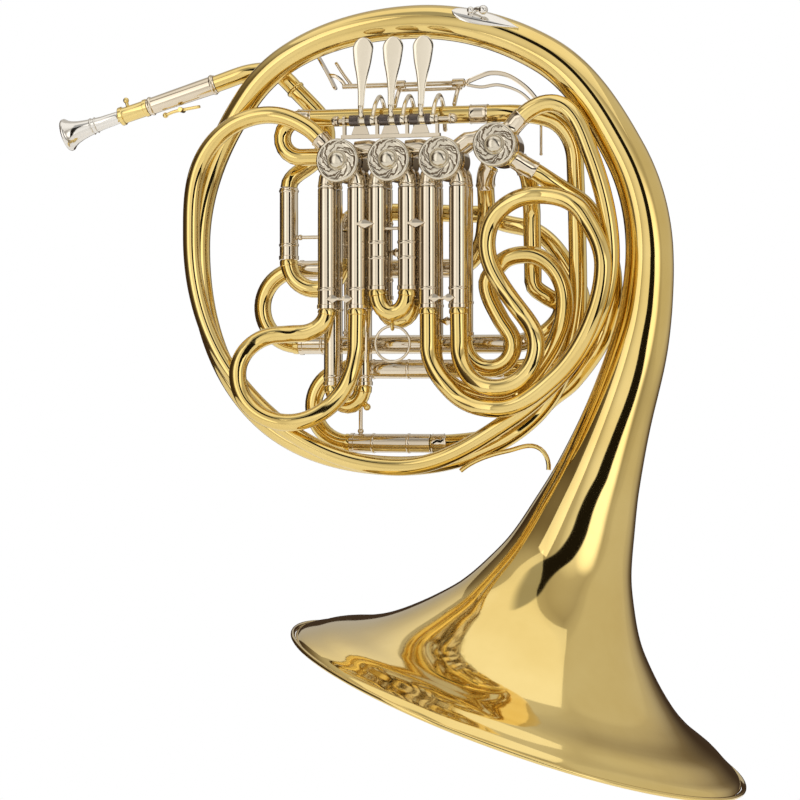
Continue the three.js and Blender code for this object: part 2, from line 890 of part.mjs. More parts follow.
const HOOK_ANGLE = 35;
const HOOK_R = 13.9; // from the branch's centre line to the flange's
const flange = onBranch([520, 510, 500, 490, 478], HOOK_ANGLE, HOOK_R);
const [hookX, hookY, hookZ] = flange[1];
add(
  "finger_hook",
  union([
    bar(flange, 1.8),
    bar([[hookX, hookY, hookZ], [hookX + 5, hookY - 2, hookZ + 2], [hookX + 9, hookY - 4, hookZ + 1]], 1.8),
    new THREE.SphereGeometry(3.2, 10, 8).translate(hookX + 9.5, hookY - 4.3, hookZ + 1),
  ]),
  silver,
);
add(
  "bell_brace",
  bentLathe(
    [
      [42, -201.5, 40, 0],
      [73, -188.5, 12, 0],
      [93, -186, 335, 0],
      [100.2, -200.5, 265, 0],
    ],
    plainTube(1.5),
    6,
  ),
  brass,
);
const keyAt = lead(34);
add(
  "water_key",
  union([
    bar([
      [keyAt[0] - 13, LEAD_Y, keyAt[1] - 12.5],
      [keyAt[0], LEAD_Y, keyAt[1] - 9.2],
      [keyAt[0] + 13, LEAD_Y, keyAt[1] - 7],
    ], 1.2),
    rod([keyAt[0], LEAD_Y - 4, keyAt[1] - 9.2], [keyAt[0], LEAD_Y + 4, keyAt[1] - 9.2], 1.8, 10),
  ]),
  brass,
);

export default horn;
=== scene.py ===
# A double French horn in polished brass, nickel silver and silver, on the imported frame.
# Places are in millimetres in the frame's axes, and are turned to metres where a mesh is made:
# X to the right as the valve caps are seen, Y away from the caps, Z up.
import json
import math

import bpy
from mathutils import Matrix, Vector


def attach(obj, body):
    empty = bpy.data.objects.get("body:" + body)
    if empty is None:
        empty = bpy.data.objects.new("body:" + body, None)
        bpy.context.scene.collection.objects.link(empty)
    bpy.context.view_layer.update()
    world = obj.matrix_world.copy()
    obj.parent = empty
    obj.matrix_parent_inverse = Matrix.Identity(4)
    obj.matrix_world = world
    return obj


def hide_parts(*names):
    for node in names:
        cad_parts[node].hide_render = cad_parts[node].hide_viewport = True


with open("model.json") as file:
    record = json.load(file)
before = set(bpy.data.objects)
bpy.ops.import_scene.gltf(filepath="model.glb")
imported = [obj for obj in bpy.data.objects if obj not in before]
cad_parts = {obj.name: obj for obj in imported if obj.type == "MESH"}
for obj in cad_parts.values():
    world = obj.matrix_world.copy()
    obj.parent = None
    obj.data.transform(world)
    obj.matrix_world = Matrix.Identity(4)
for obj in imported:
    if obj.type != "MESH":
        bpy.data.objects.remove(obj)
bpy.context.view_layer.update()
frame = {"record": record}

MM = 0.001
BODIES = frame["record"]["behaviour"]["bodies"]
BODY_OF = {node: body for body, nodes in BODIES.items() for node in nodes}
SLOT_OF = {part["node"]: part["material_slot"] for part in frame["record"]["subparts"]}

# ---- Driving dimensions, as in the CAD ----

CROOK_Y, FRONT_Y, REAR_Y, BACK_Y, DEEP_Y = -28, -15, 0, 14, 28
TUBE_R = 5.7
SLEEVE_R = 6.2
BEAD_R = 6.7
GAP = 0.35
VALVES = [(-34, 0), (0, 0), (34, 0), (70, 8)]
LEG_OFFSET = 10
CASING_R = 13
CASING_FRONT_Y = -22
CASING_BACK_Y = 9
STUB_BOTTOM = -17
LINK_Z = 8
CAP_R = 14.2
ROD_Y, ROD_Z = -20, 26
LEVER_X = [-19, 1, 21]
ARM_OFFSET = 7
UPRIGHT_X = [-31, -9, 11, 31]
THUMB_Y, THUMB_Z = 16, 53
RETURN_TUBE_Z = 30.5

# ---- Routes: waypoints [x, z, heading in degrees, y] ----


def cubic(p0, p1, p2, p3, t):
    s = 1 - t
    return p0 * s**3 + p1 * (3 * s * s * t) + p2 * (3 * s * t * t) + p3 * t**3


class Way:
    """A smooth line measured along its length."""

    def __init__(self, points):
        self.points = points
        self.lengths = [0.0]
        for a, b in zip(points, points[1:]):
            self.lengths.append(self.lengths[-1] + (b - a).length)
        self.length = self.lengths[-1]

    def at(self, s):
        low, high = 0, len(self.points) - 2
        while low < high:
            middle = (low + high + 1) // 2
            if self.lengths[middle] <= s:
                low = middle
            else:
                high = middle - 1
        a, b = self.points[low], self.points[low + 1]
        span = self.lengths[low + 1] - self.lengths[low]
        return a + (b - a) * ((s - self.lengths[low]) / span)

    def tangent(self, s):
        step, margin = 0.4, 0.5
        s = min(max(s, margin), self.length - margin)
        return (self.at(s + step) - self.at(s - step)).normalized()


def route(waypoints, steps=40):
    """A smooth line through waypoints, at their headings in the frame's XZ plane."""
    points = []
    for (x0, z0, h0, y0), (x1, z1, h1, y1) in zip(waypoints, waypoints[1:]):
        a, b = math.radians(h0), math.radians(h1)
        turn = math.atan2(math.sin(b - a), math.cos(b - a))
        handle = math.hypot(x1 - x0, z1 - z0) / (3 * math.cos(turn / 4) ** 2)
        p0, p3 = Vector((x0, y0, z0)), Vector((x1, y1, z1))
        p1 = Vector((x0 + handle * math.cos(a), y0, z0 + handle * math.sin(a)))
        p2 = Vector((x1 - handle * math.cos(b), y1, z1 - handle * math.sin(b)))
        start = 1 if points else 0
        points += [cubic(p0, p1, p2, p3, k / steps) for k in range(start, steps + 1)]
    return Way(points)


def straight(a, b):
    a, b = Vector(a), Vector(b)
    return Way([a.lerp(b, k / 8) for k in range(9)])


def smooth(points, steps=12):
    """A smooth line through a few points."""
    ps = [Vector(p) for p in points]
    ps = [ps[0] * 2 - ps[1], *ps, ps[-1] * 2 - ps[-2]]
    out = []
    for a, b, c, d in zip(ps, ps[1:], ps[2:], ps[3:]):
        for k in range(steps):
            t = k / steps
            bend = (a * 2 - b * 5 + c * 4 - d) * t**2
            twist = (b * 3 - a - c * 3 + d) * t**3
            out.append((b * 2 + (c - a) * t + bend + twist) / 2)
    out.append(ps[-2])
    return Way(out)


# ---- Meshes ----


def make(name, verts, faces, node, slot=None, material=None, sharp=35, centre=(0, 0, 0)):
    """A finished piece in the frame, riding on its node's body and standing for that node.
    Its texture is laid from its centre."""
    mesh = bpy.data.meshes.new(name)
    mesh.from_pydata([tuple((v - c) * MM for v, c in zip(p, centre)) for p in verts], [], faces)
    mesh.validate()
    mesh.shade_smooth()
    mesh.set_sharp_from_angle(angle=math.radians(sharp))
    obj = bpy.data.objects.new(name, mesh)
    obj.location = Vector(centre) * MM
    bpy.context.collection.objects.link(obj)
    slot = slot or SLOT_OF[node]
    mesh.materials.append(material or MATERIALS[slot])
    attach(obj, BODY_OF[node])
    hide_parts(node)
    return obj


def ring_step(profile, way, spacing):
    """The profile with more rings put in wherever the line between two of its points is long."""
    out = [profile[0]]
    for (s0, r0), (s1, r1) in zip(profile, profile[1:]):
        count = max(1, math.ceil(abs(s1 - s0) / spacing)) if r0 and r1 else 1
        out += [(s0 + (s1 - s0) * k / count, r0 + (r1 - r0) * k / count) for k in range(1, count + 1)]
    return out


def turned(way, profile, sides=28, spacing=3.0, up=Vector((0, 1, 0))):
    """Vertices and faces of a profile [(distance, radius)] turned round a line."""
    rings = ring_step(profile, way, spacing)
    verts, faces, index = [], [], []
    for s, r in rings:
        centre, tangent = way.at(s), way.tangent(s)
        normal = (up - tangent * up.dot(tangent)).normalized()
        side = normal.cross(tangent)
        if r < 1e-6:
            index.append([len(verts)] * sides)
            verts.append(centre)
            continue
        index.append(range(len(verts), len(verts) + sides))
        for k in range(sides):
            angle = 2 * math.pi * k / sides
            verts.append(centre + normal * (r * math.sin(angle)) + side * (r * math.cos(angle)))
    for low, high in zip(index, index[1:]):
        for k in range(sides):
            n = (k + 1) % sides
            corners = [low[k], low[n], high[n], high[k]]
            face = list(dict.fromkeys(corners))
            if len(face) > 2:
                faces.append(face)
    return verts, faces


def joined(*shapes):
    verts, faces = [], []
    for v, f in shapes:
        base = len(verts)
        verts += v
        faces += [[i + base for i in face] for face in f]
    return verts, faces


def band(way, s, width, r, base_r):
    """A rounded ring round a tube, as a ferrule has at its ends."""
    steps = 6
    arc = [
        (s - width / 2 * math.cos(math.pi * k / steps), base_r + (r - base_r) * math.sin(math.pi * k / steps))
        for k in range(steps + 1)
    ]
    profile = [(arc[0][0], base_r - 0.4), *arc, (arc[-1][0], base_r - 0.4)]
    return turned(way, profile, spacing=9)


def tube(way, r, sides=28):
    """A plain tube along a line, with flat ends."""
    return turned(way, [(0, 0), (0, r), (way.length, r), (way.length, 0)], sides)


def rod(a, b, r):
    """A straight round rod with its ends bevelled."""
    way = straight(a, b)
    L = way.length
    bevel = min(0.3, r * 0.4, L * 0.3)
    profile = [(0, 0), (0, r - bevel), (bevel, r), (L - bevel, r), (L, r - bevel), (L, 0)]
    up = Vector((1, 0, 0)) if abs((Vector(b) - Vector(a)).normalized().y) > 0.7 else Vector((0, 1, 0))
    return turned(way, profile, 20, spacing=60, up=up)


def bar(points, r, end_r=None):
    """A round bar along a smooth line, with its ends rounded."""
    way = smooth(points)
    L = way.length
    last = end_r or r
    profile = [(0, 0), (0, r * 0.8), (r * 0.4, r), (L - last * 0.4, last), (L, last * 0.8), (L, 0)]
    return turned(way, profile, 16, spacing=1.5, up=Vector((1, 0, 0)))


def ball(centre, r):
    x, y, z = centre
    way = straight((x - r, y, z), (x + r, y, z))
    steps = 14
    angles = [math.pi * k / steps for k in range(1, steps)]
    profile = [(0, 0), *((r - r * math.cos(a), r * math.sin(a)) for a in angles), (2 * r, 0)]
    return turned(way, profile, 24, spacing=60)


def loop(centre, major, minor, axis):
    """A round ring of wire about an axis."""
    axis = Vector(axis)
    a = axis.orthogonal().normalized()
    b = axis.cross(a)
    n, m = 56, 16
    verts, faces = [], []
    for i in range(n):
        t = 2 * math.pi * i / n
        out = a * math.cos(t) + b * math.sin(t)
        for j in range(m):
            p = 2 * math.pi * j / m
            verts.append(Vector(centre) + out * (major + minor * math.cos(p)) + axis * (minor * math.sin(p)))
            faces.append(
                [i * m + j, ((i + 1) % n) * m + j, ((i + 1) % n) * m + (j + 1) % m, i * m + (j + 1) % m]
            )
    return verts, faces


def plate(outline, y0, y1, bevel=0.35):
    """A flat plate over an outline of (x, z), with its edges rounded over."""
    n = len(outline)
    cx = sum(p[0] for p in outline) / n
    cz = sum(p[1] for p in outline) / n

    def level(y, inset):
        out = []
        for x, z in outline:
            d = math.hypot(x - cx, z - cz) or 1
            out.append(Vector((x - (x - cx) / d * inset, y, z - (z - cz) / d * inset)))
        return out

    levels = [level(y0, bevel), level(y0 + bevel, 0), level(y1 - bevel, 0), level(y1, bevel)]
    verts = [v for l in levels for v in l]
    faces = []
    for i in range(3):
        for k in range(n):
            m = (k + 1) % n
            faces.append([i * n + k, i * n + m, (i + 1) * n + m, (i + 1) * n + k])
    faces.append(list(range(n))[::-1])
    faces.append([3 * n + k for k in range(n)])
    return verts, faces


def diamond(x, z, y, width, height, depth):
    """A pointed boss, as soldered between two tubes."""
    tips = [(x, y, z + height), (x, y, z - height)]
    ring = [(x - width, y, z), (x, y - depth, z), (x + width, y, z), (x, y + depth, z)]
    verts = [Vector(p) for p in tips + ring]
    faces = []
    for k in range(4):
        a, b = 2 + k, 2 + (k + 1) % 4
        faces += [[0, a, b], [1, b, a]]
    return verts, faces


# ---- Materials ----


class Nodes:
    """Short calls for building a node tree."""

    def __init__(self, tree):
        self.tree = tree
        tree.nodes.clear()

    def add(self, kind, **settings):
        node = self.tree.nodes.new(kind)
        for key, value in settings.items():
            setattr(node, key, value)
        return node

    def link(self, a, b):
        self.tree.links.new(a, b)

    def math(self, operation, a, b=None):
        node = self.add("ShaderNodeMath", operation=operation)
        for socket, value in zip(node.inputs, (a, b)):
            if value is None:
                continue
            if isinstance(value, (int, float)):
                socket.default_value = value
            else:
                self.link(value, socket)
        return node.outputs[0]

    def noise(self, vector, scale, detail=3.0, roughness=0.55):
        node = self.add("ShaderNodeTexNoise")
        node.inputs["Scale"].default_value = scale
        node.inputs["Detail"].default_value = detail
        node.inputs["Roughness"].default_value = roughness
        self.link(vector, node.inputs["Vector"])
        return node.outputs["Fac"]

    def ramp(self, value, stops):
        node = self.add("ShaderNodeValToRGB")
        elements = node.color_ramp.elements
        while len(elements) < len(stops):
            elements.new(0.5)
        for element, (position, color) in zip(elements, stops):
            element.position = position
            element.color = (*color, 1)
        self.link(value, node.inputs[0])
        return node.outputs["Color"]

    def bump(self, height, strength, distance):
        node = self.add("ShaderNodeBump")
        node.inputs["Strength"].default_value = strength
        node.inputs["Distance"].default_value = distance
        self.link(height, node.inputs["Height"])
        return node.outputs["Normal"]


def metal(name, low, high, rough):
    """A plated or lacquered metal: slow colour drift, fine hairlines, and a faint ripple."""
    material = bpy.data.materials.new(name)
    material.use_nodes = True
    n = Nodes(material.node_tree)
    place = n.add("ShaderNodeTexCoord").outputs["Object"]
    drift = n.noise(place, 14, 4)
    hairlines = n.noise(place, 900, 6, 0.7)
    shader = n.add("ShaderNodeBsdfPrincipled")
    shader.inputs["Metallic"].default_value = 1.0
    n.link(n.ramp(drift, [(0.32, low), (0.68, high)]), shader.inputs["Base Color"])
    wear = n.math("MULTIPLY_ADD", hairlines, 0.06)
    wear.node.inputs[2].default_value = rough - 0.03
    n.link(wear, shader.inputs["Roughness"])
    n.link(n.bump(n.noise(place, 55, 2), 0.05, 0.0004), shader.inputs["Normal"])
    shader.inputs["Coat Weight"].default_value = 0.25
    shader.inputs["Coat Roughness"].default_value = 0.04
    out = n.add("ShaderNodeOutputMaterial")
    n.link(shader.outputs[0], out.inputs[0])
    return material


LEAVES = 6
LEAF_TWIST = 430


def engraved(name):
    """Valve caps: leaf scrolls that swirl round the knob, cut in dark."""
    material = bpy.data.materials.new(name)
    material.use_nodes = True
    n = Nodes(material.node_tree)
    place = n.add("ShaderNodeTexCoord").outputs["Object"]
    parts = n.add("ShaderNodeSeparateXYZ")
    n.link(place, parts.inputs[0])
    x, z = parts.outputs["X"], parts.outputs["Z"]
    radius = n.math("SQRT", n.math("ADD", n.math("MULTIPLY", x, x), n.math("MULTIPLY", z, z)))
    angle = n.math("ARCTAN2", z, x)
    wander = n.math("MULTIPLY", n.math("SUBTRACT", n.noise(place, 260, 2), 0.5), 2.6)
    swirl = n.math("ADD", n.math("MULTIPLY", radius, LEAF_TWIST), wander)
    turn = n.math("ADD", n.math("MULTIPLY", angle, LEAVES / 2), swirl)
    edge = n.math("ABSOLUTE", n.math("SINE", turn))
    outline = n.math("LESS_THAN", edge, 0.2)
    fine = n.math("ADD", n.math("MULTIPLY", angle, LEAVES * 1.5), n.math("MULTIPLY", swirl, 4.2))
    vein = n.math("GREATER_THAN", n.math("SINE", fine), 0.35)
    vein = n.math("MULTIPLY", vein, n.math("GREATER_THAN", edge, 0.42))
    field = n.math("MULTIPLY", n.math("LESS_THAN", radius, 0.0126), n.math("GREATER_THAN", radius, 0.0069))
    cut = n.math("MULTIPLY", n.math("MAXIMUM", outline, vein), field)
    shader = n.add("ShaderNodeBsdfPrincipled")
    shader.inputs["Metallic"].default_value = 1.0
    n.link(n.ramp(cut, [(0.0, (0.74, 0.68, 0.56)), (1.0, (0.20, 0.15, 0.10))]), shader.inputs["Base Color"])
    n.link(n.ramp(cut, [(0.0, (0.2,) * 3), (1.0, (0.5,) * 3)]), shader.inputs["Roughness"])
    height = n.math("SUBTRACT", 1.0, cut)
    n.link(n.bump(height, 0.6, 0.0004), shader.inputs["Normal"])
    out = n.add("ShaderNodeOutputMaterial")
    n.link(shader.outputs[0], out.inputs[0])
    return material


BRASS = metal("polished_lacquered_brass", (0.81, 0.60, 0.205), (0.90, 0.70, 0.28), 0.06)
NICKEL = metal("polished_nickel_silver", (0.72, 0.62, 0.48), (0.83, 0.74, 0.59), 0.07)
SATIN = metal("satin_nickel_silver", (0.86, 0.78, 0.63), (0.93, 0.86, 0.72), 0.16)
SILVER = metal("silver_plate", (0.80, 0.77, 0.72), (0.88, 0.86, 0.82), 0.10)
ENGRAVED = engraved("engraved_nickel_silver")
SPRING = metal("dull_spring_wire", (0.17, 0.14, 0.13), (0.27, 0.23, 0.21), 0.35)
MATERIALS = {"lacquered_brass": BRASS, "nickel_silver": NICKEL, "silver_plate": SILVER}

# ---- Bell and branch ----

BELL_TAIL = 303
bell_way = route(
    [
        [80.1, -354.1, 70.9, 0],
        [146, -164.3, 72, 0],
        [163.9, -93.3, 84, 0],
        [165.8, -63.3, 90, 0],
        [149.6, 3.4, 118, 0],
        [97.5, 67.7, 149, 0],
        [11.4, 91.8, 180, 0],
        [-42.9, 84.5, 196, 0],
        [-76.5, 69.8, 212, 0],
        [-102.1, 46, 234, 0],
        [-137.1, -51.9, 270, 0],
        [-95.9, -165.4, 316, 0],
        [1.3, -198.6, 0, 0],
        [68.2, -181.4, 30, 8],
        [94.6, -158.6, 52, BACK_Y],
        [111.5, -123, 77, BACK_Y],
        [117, -80.7, 90, BACK_Y],
        [116.3, -38.5, 91, BACK_Y],
        [115, 0.5, 92, BACK_Y],
        [99.6, 26.9, 158, 9],
        [68.2, RETURN_TUBE_Z, 180, REAR_Y],
        [-66, RETURN_TUBE_Z, 180, REAR_Y],
        [-79, 17.8, 270, REAR_Y],
        [-66, 5, 0, REAR_Y],
        [-47, 5, 0, REAR_Y],
    ]
)


def curve_through(knots, s):
    """A smooth value at s through knots [(s, value)], with no overshoot."""
    slopes = [(b[1] - a[1]) / (b[0] - a[0]) for a, b in zip(knots, knots[1:])]
    ends = [slopes[0]]
    ends += [2 * a * b / (a + b) if a * b > 0 else 0 for a, b in zip(slopes, slopes[1:])]
    ends.append(slopes[-1])
    for i, ((s0, v0), (s1, v1)) in enumerate(zip(knots, knots[1:])):
        if s <= s1:
            h = s1 - s0
            t = (s - s0) / h
            return (
                v0 * (2 * t**3 - 3 * t**2 + 1)
                + ends[i] * h * (t**3 - 2 * t**2 + t)
                + v1 * (3 * t**2 - 2 * t**3)
                + ends[i + 1] * h * (t**3 - t**2)
            )
    return knots[-1][1]


BELL_WALL = 1.2
bell_knots = [
    (0, 151.6), (3, 149.5), (8, 141), (13, 132.5), (20, 115), (27, 102), (36, 90), (51, 74), (66, 61),
    (84, 50.5), (105, 41), (131, 34), (160, 27.5), (203, 21.6), (242, 19), (268, 17), (BELL_TAIL, 15.4),
]
bell_steps = [BELL_TAIL * (k / 110) ** 1.35 for k in range(111)]
outside = [(s, curve_through(bell_knots, s)) for s in bell_steps]
inside = [(s, r - BELL_WALL) for s, r in reversed(outside)]
make("bell_shell", *turned(bell_way, [*outside, *inside, outside[0]], 144, spacing=40), "bell")

rim = [
    (-1.2, 152.2), (-1.2, 154.2), (-0.7, 154.8), (0, 155), (0.9, 154.8), (1.4, 154.4), (1.6, 153.4),
    (0.4, 152),
]
make("bell_rim_wire", *turned(bell_way, [*rim, rim[0]], 144, spacing=40), "rim_wire", sharp=60)

branch_knots = [
    (BELL_TAIL, 15.4), (370, 13.7), (454, 12.3), (544, 11), (636, 9.2), (777, 7.5), (1005, 6.3),
    (1175, 6), (1300, TUBE_R), (bell_way.length, TUBE_R),
]
branch_steps = [BELL_TAIL + k * 4 for k in range(1, int((bell_way.length - BELL_TAIL) / 4))]
branch = [(BELL_TAIL, 0), (BELL_TAIL, 15.4)]
branch += [(s, curve_through(branch_knots, s)) for s in branch_steps]
branch += [(bell_way.length, TUBE_R), (bell_way.length, 0)]
make("bell_branch_tube", *turned(bell_way, branch, 40, spacing=40), "bell_branch")


def ferrule(way, start, end, r):
    """A nickel silver ferrule over a joint in a tube, with a rolled edge at each end."""
    edge = 0.5
    profile = [
        (start, r - 0.4), (start, r + 0.5), (start + edge, r + 0.8), (start + 2 * edge, r + 0.45),
        (end - 2 * edge, r + 0.45), (end - edge, r + 0.8), (end, r + 0.5), (end, r - 0.4), (start, r - 0.4),
    ]
    return turned(way, profile, 32, spacing=3)


def add_ferrules(name, node, way, spans, r=TUBE_R):
    shapes = [ferrule(way, start, end, r) for start, end in spans]
    make(name, *joined(*shapes), node, slot="nickel_silver", material=NICKEL, sharp=50)


end = bell_way.length
add_ferrules("branch_ferrules", "bell_branch", bell_way, [(end - 186, end - 174), (end - 67, end - 58)])

# ---- Loop, leadpipe and mouthpiece ----

loop_way = route(
    [
        [-43.4, 9.4, 135, FRONT_Y],
        [-57, 22.7, 147, FRONT_Y],
        [-84.4, 32, 180, FRONT_Y],
        [-130.7, 1.7, 245, FRONT_Y],
        [-137.3, -47.4, 270, FRONT_Y],
        [-107, -141, 308, FRONT_Y],
        [3.7, -198.9, 0, FRONT_Y],
        [76.8, -168.6, 34, FRONT_Y],
        [143.4, -63.8, 90, FRONT_Y],
        [129.9, 2, 111, FRONT_Y],
        [104, 34.6, 180, FRONT_Y],
        [77.9, 18, 232, FRONT_Y],
    ]
)
make("front_loop_tube", *tube(loop_way, TUBE_R), "f_loop")
end = loop_way.length
add_ferrules("front_loop_ferrules", "f_loop", loop_way, [(0.4, 9), (end - 12, end - 0.4)])

LEAD_HEADING = 16.6
LEAD_Y = 15
LEAD_COS = math.cos(math.radians(LEAD_HEADING))
LEAD_SIN = math.sin(math.radians(LEAD_HEADING))


def lead(back):
    return [-124.3 - back * LEAD_COS, 58.9 - back * LEAD_SIN, LEAD_HEADING, LEAD_Y]


def lead_point(back, below=0.0, y=0.0):
    x, z, _, _ = lead(back)
    return (x + below * LEAD_SIN, LEAD_Y + y, z - below * LEAD_COS)


RIM_BACK, RECEIVER_BACK, SLEEVE_BACK, SHANK_DEPTH = 118, 77, 56, 14
cup_way = route([lead(RIM_BACK), lead(RECEIVER_BACK - SHANK_DEPTH + 1)])
L = cup_way.length
cup = [
    (0.15, 8.5), (0, 8.9), (0, 10.2), (0.2, 10.8), (0.9, 11.2), (2.2, 11.1), (3.2, 10.3), (4.4, 9.2),
    (7, 7.9), (11, 6.7), (16, 5.8), (22, 5.0), (28, 4.5), (L - SHANK_DEPTH - 1, 4.2), (L - SHANK_DEPTH, 3.9),
    (L - SHANK_DEPTH + 0.5, 3.4), (L, 3.2), (L, 2.1), (18, 2.1), (14.5, 3.4), (11, 5.4), (7, 7.1), (3, 8.0),
]
cup_bands = [band(cup_way, 20, 1.4, 5.9, 5.0), band(cup_way, 23, 1.0, 5.6, 4.8)]
cup_body = turned(cup_way, [*cup, cup[0]], 56, spacing=30)
make("mouthpiece_cup", *joined(cup_body, *cup_bands), "mouthpiece", sharp=50)

receiver_way = route([lead(RECEIVER_BACK), lead(SLEEVE_BACK)])
L = receiver_way.length
socket = [
    (0, 3.8), (0, 6), (0.4, 6.4), (2.6, 6.4), (3.2, 5.6), (4.2, 5.4), (L - 3, 5.4), (L - 2.6, 6),
    (L - 0.4, 6),
    (L, 5.6), (L, 0), (SHANK_DEPTH, 0), (SHANK_DEPTH, 3.8), (0, 3.8),
]
stud = rod(lead_point(70, -4.8), lead_point(70, -8.4), 1.2)
make(
    "mouthpiece_receiver",
    *joined(turned(receiver_way, socket, 36, spacing=30), stud, ball(lead_point(70, -9.4), 2.0)),
    "receiver",
)

sleeve_way = route([lead(SLEEVE_BACK - GAP), lead(6)])
sleeve_tube = turned(sleeve_way, [(0, 0), (0, 5.6), (sleeve_way.length, 6.2), (sleeve_way.length, 0)], 32)
sleeve_bands = [band(sleeve_way, s, 2.4, r + 0.9, r) for s, r in ((2, 5.6), (sleeve_way.length - 2, 6.1))]
make("leadpipe_outer_sleeve", *joined(sleeve_tube, *sleeve_bands), "leadpipe_sleeve")

leadpipe_way = route(
    [
        lead(6 - GAP),
        [-112.8, 62.6, 16, LEAD_Y],
        [-94.4, 65.5, 0, 18],
        [-73.8, 50, 315, 22],
        [-62.4, 38, 313, 24],
        [-55, 21, 270, 24],
        [-64, 3, 220, 20],
        [-78.6, -13.5, 270, BACK_Y],
    ]
)
make("leadpipe_bow", *joined(tube(leadpipe_way, TUBE_R), band(leadpipe_way, 60, 3, 6.6, TUBE_R)), "leadpipe")

# ---- Valves ----


def upright(x, z, y0, y1, profile, sides=56):
    return turned(straight((x, y0, z), (x, y1, z)), profile, sides, spacing=60, up=Vector((1, 0, 0)))


for i, (x, z) in enumerate(VALVES):
    number = i + 1
    body_length = CASING_BACK_Y - CASING_FRONT_Y
    shell = [
        (0, 11.1), (0, 12.6), (0.4, CASING_R), (3, CASING_R), (3.5, 12.5), (11, 12.5), (11.6, CASING_R),
        (body_length - 3.4, CASING_R), (body_length - 3, 12.6), (body_length - 0.4, 12.6), (body_length, 12),
        (body_length, 2.9), (body_length - 2, 2.9), (body_length - 2, 11.1), (0, 11.1),
    ]
    shapes = [upright(x, z, CASING_FRONT_Y, CASING_BACK_Y, shell)]
    for deck in (FRONT_Y, REAR_Y):
        if number < 4:
            for side in (-1, 1):
                leg = x + side * LEG_OFFSET
                port = (x + side * 8.4, deck, z - 8.5)
                knuckle = smooth([port, (leg, deck, -12), (leg, deck, STUB_BOTTOM)])
                shapes.append(tube(knuckle, 5.9))
                shapes.append(band(knuckle, knuckle.length - 1.4, 2.6, 6.2, 5.6))
            nx, nz = VALVES[number]
            arch = smooth(
                [
                    (x + 9.4, deck, z + 8.2),
                    ((x + nx) / 2 - 2, deck, (z + nz) / 2 + LINK_Z + 0.8),
                    ((x + nx) / 2 + 2, deck, (z + nz) / 2 + LINK_Z + 0.8),
                    (nx - 10, deck, nz + 7.2 - 0.6 * (nz > 0)),
                ]
            )
            shapes.append(tube(arch, 4.9))
    make(f"valve_{number}_casing", *joined(*shapes), f"valve_casing_{number}")

    depth = CASING_BACK_Y - 2 - GAP - (CASING_FRONT_Y + GAP)
    core_length = depth + 13.6
    core = [
        (0, 0), (0, 10.5), (0.3, 10.8), (depth - 0.3, 10.8), (depth, 10.5), (depth, 2.6),
        (core_length - 0.4, 2.6), (core_length, 2.2), (core_length, 0),
    ]
    make(
        f"rotor_{number}_core",
        *upright(x, z, CASING_FRONT_Y + GAP, CASING_FRONT_Y + GAP + core_length, core),
        f"rotor_{number}",
    )

    face = [
        (0, 0), (0, CAP_R - 0.3), (0.4, CAP_R), (1.5, CAP_R), (1.9, CAP_R - 0.5), (2.5, CAP_R - 0.5),
        (2.9, CAP_R), (4.6, CAP_R), (5.3, 13.8), (5.65, 13.1), (5.6, 12.4), (5.3, 12.0), (5.05, 11.7),
        (5.2, 10), (5.3, 8), (5.1, 6.9), (5.0, 6.6), (5.7, 6.2), (6.0, 5.8), (5.7, 5.4), (6.4, 5.1),
        (7.2, 4.3), (7.8, 3.1), (8.1, 1.6), (8.2, 0),
    ]
    base = CASING_FRONT_Y - GAP
    make(
        f"valve_{number}_cap",
        *turned(straight((x, base, z), (x, base - 10, z)), face, 96, spacing=60, up=Vector((1, 0, 0))),
        f"valve_cap_{number}",
        material=ENGRAVED,
        sharp=60,
        centre=(x, 0, z),
    )

    hub = [(0, 2.9), (0, 5.7), (0.3, 6), (2.7, 6), (3, 5.7), (3, 2.9), (0, 2.9)]
    arm = rod((x + 5, 15.5, z - 1), (x + 10, 15.5, z - 2), 1.5)
    make(f"stop_arm_{number}_hub", *joined(upright(x, z, 14, 17, hub), arm), f"stop_arm_{number}")

# ---- Sleeves and slides ----

SLIDE_DEPTH = 22
BORE_DEPTH = 24
LEG_R = 5.3
SLEEVE_BORE_R = 5.65
SLEEVE_TOP = STUB_BOTTOM - GAP


def sleeve(way, depth, rings=()):
    """A nickel silver sleeve bored at its mouth, with a rolled bead there and rings along it."""
    L = way.length
    profile = [
        (0, 0), (0, 5.9), (0.3, SLEEVE_R), (L - 3, SLEEVE_R), (L - 2.7, BEAD_R), (L - 0.4, BEAD_R),
        (L, BEAD_R - 0.4), (L, SLEEVE_BORE_R), (L - depth, SLEEVE_BORE_R), (L - depth, 0),
    ]
    parts = [turned(way, profile, 32, spacing=30)]
    parts += [band(way, L - r, 2.2, BEAD_R, SLEEVE_R - 0.1) for r in rings]
    return joined(*parts)


def slide(way, depth, extra=()):
    """A brass crook with two thinner legs, each with a turned ferrule where it leaves its sleeve."""
    L = way.length
    profile = [
        (0, 0), (0, LEG_R - 0.3), (0.4, LEG_R), (depth + GAP, LEG_R), (depth + GAP, 5.9), (depth + 1.2, 6.2),
        (depth + 3.4, 6.2), (depth + 3.8, TUBE_R), (L - depth - 3.8, TUBE_R), (L - depth - 3.4, 6.2),
        (L - depth - 1.2, 6.2), (L - depth - GAP, 5.9), (L - depth - GAP, LEG_R), (L - 0.4, LEG_R),
        (L, LEG_R - 0.3), (L, 0),
    ]
    return joined(turned(way, profile, 32), *extra)


